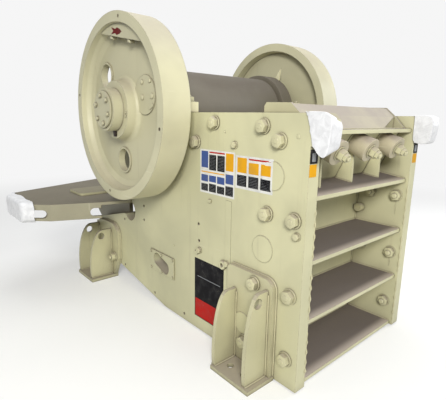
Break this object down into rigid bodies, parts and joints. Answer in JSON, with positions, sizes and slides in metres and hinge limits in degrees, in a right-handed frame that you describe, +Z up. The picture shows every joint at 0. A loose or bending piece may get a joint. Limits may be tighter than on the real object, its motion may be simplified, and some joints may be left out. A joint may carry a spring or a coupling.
{
  "type": "jaw crusher",
  "caption": "Single toggle jaw crusher with a bolted plate frame, ribbed front end, flywheels on an eccentric shaft, bracket feet and a motor base.",
  "frame": {"origin": "on the ground under the middle of the eccentric shaft", "axes": "+X along the shaft, -Y towards the ribbed feed end, +Z up"},
  "size_m": [2.404, 2.7, 1.846],
  "materials": {
    "frame_paint": "semi-gloss machine paint, dusty",
    "wheel_paint": "semi-gloss machine paint",
    "jaw_steel": "cast manganese steel",
    "bare_steel": "machined steel",
    "dark_steel": "dark steel",
    "bolt_paint": "painted over",
    "white_cloth": "white bubble wrap and cloth"
  },
  "bodies": {
    "frame": {"side_plate_left": "frame_paint", "side_plate_right": "frame_paint", "front_frame_end": "frame_paint", "rear_frame_end": "frame_paint", "feed_lip": "frame_paint", "fixed_jaw_die": "jaw_steel", "moving_jaw_die": "jaw_steel", "cheek_plates": "jaw_steel", "jaw_wedge": "dark_steel", "spring_cups": "frame_paint", "wedge_bolts": "bolt_paint", "pitman": "frame_paint", "toggle_plate": "dark_steel", "toggle_seats": "dark_steel", "tension_rod": "bare_steel", "tension_spring": "dark_steel", "bearing_housing_left": "frame_paint", "bearing_housing_right": "frame_paint", "front_foot_left": "frame_paint", "front_foot_right": "frame_paint", "rear_foot_left": "frame_paint", "rear_foot_right": "frame_paint", "plate_bolts_left": "bolt_paint", "plate_bolts_right": "bolt_paint", "pin_plugs_left": "frame_paint", "pin_plugs_right": "frame_paint", "side_cover_left": "frame_paint", "side_cover_right": "frame_paint", "motor_base": "frame_paint", "motor_base_brackets": "frame_paint", "motor_pads": "frame_paint", "ear_wraps": "white_cloth", "tip_wraps": "white_cloth"},
    "rotor": {"shaft": "bare_steel", "flywheel_left": "wheel_paint", "flywheel_right": "wheel_paint", "hub_cap_left": "wheel_paint", "hub_cap_right": "wheel_paint"}
  },
  "joints": [
    {"name": "shaft_turn", "type": "hinge", "parent": "frame", "child": "rotor", "pos_m": [0, 0, 1.303], "axis": [1, 0, 0], "continuous": true}
  ]
}
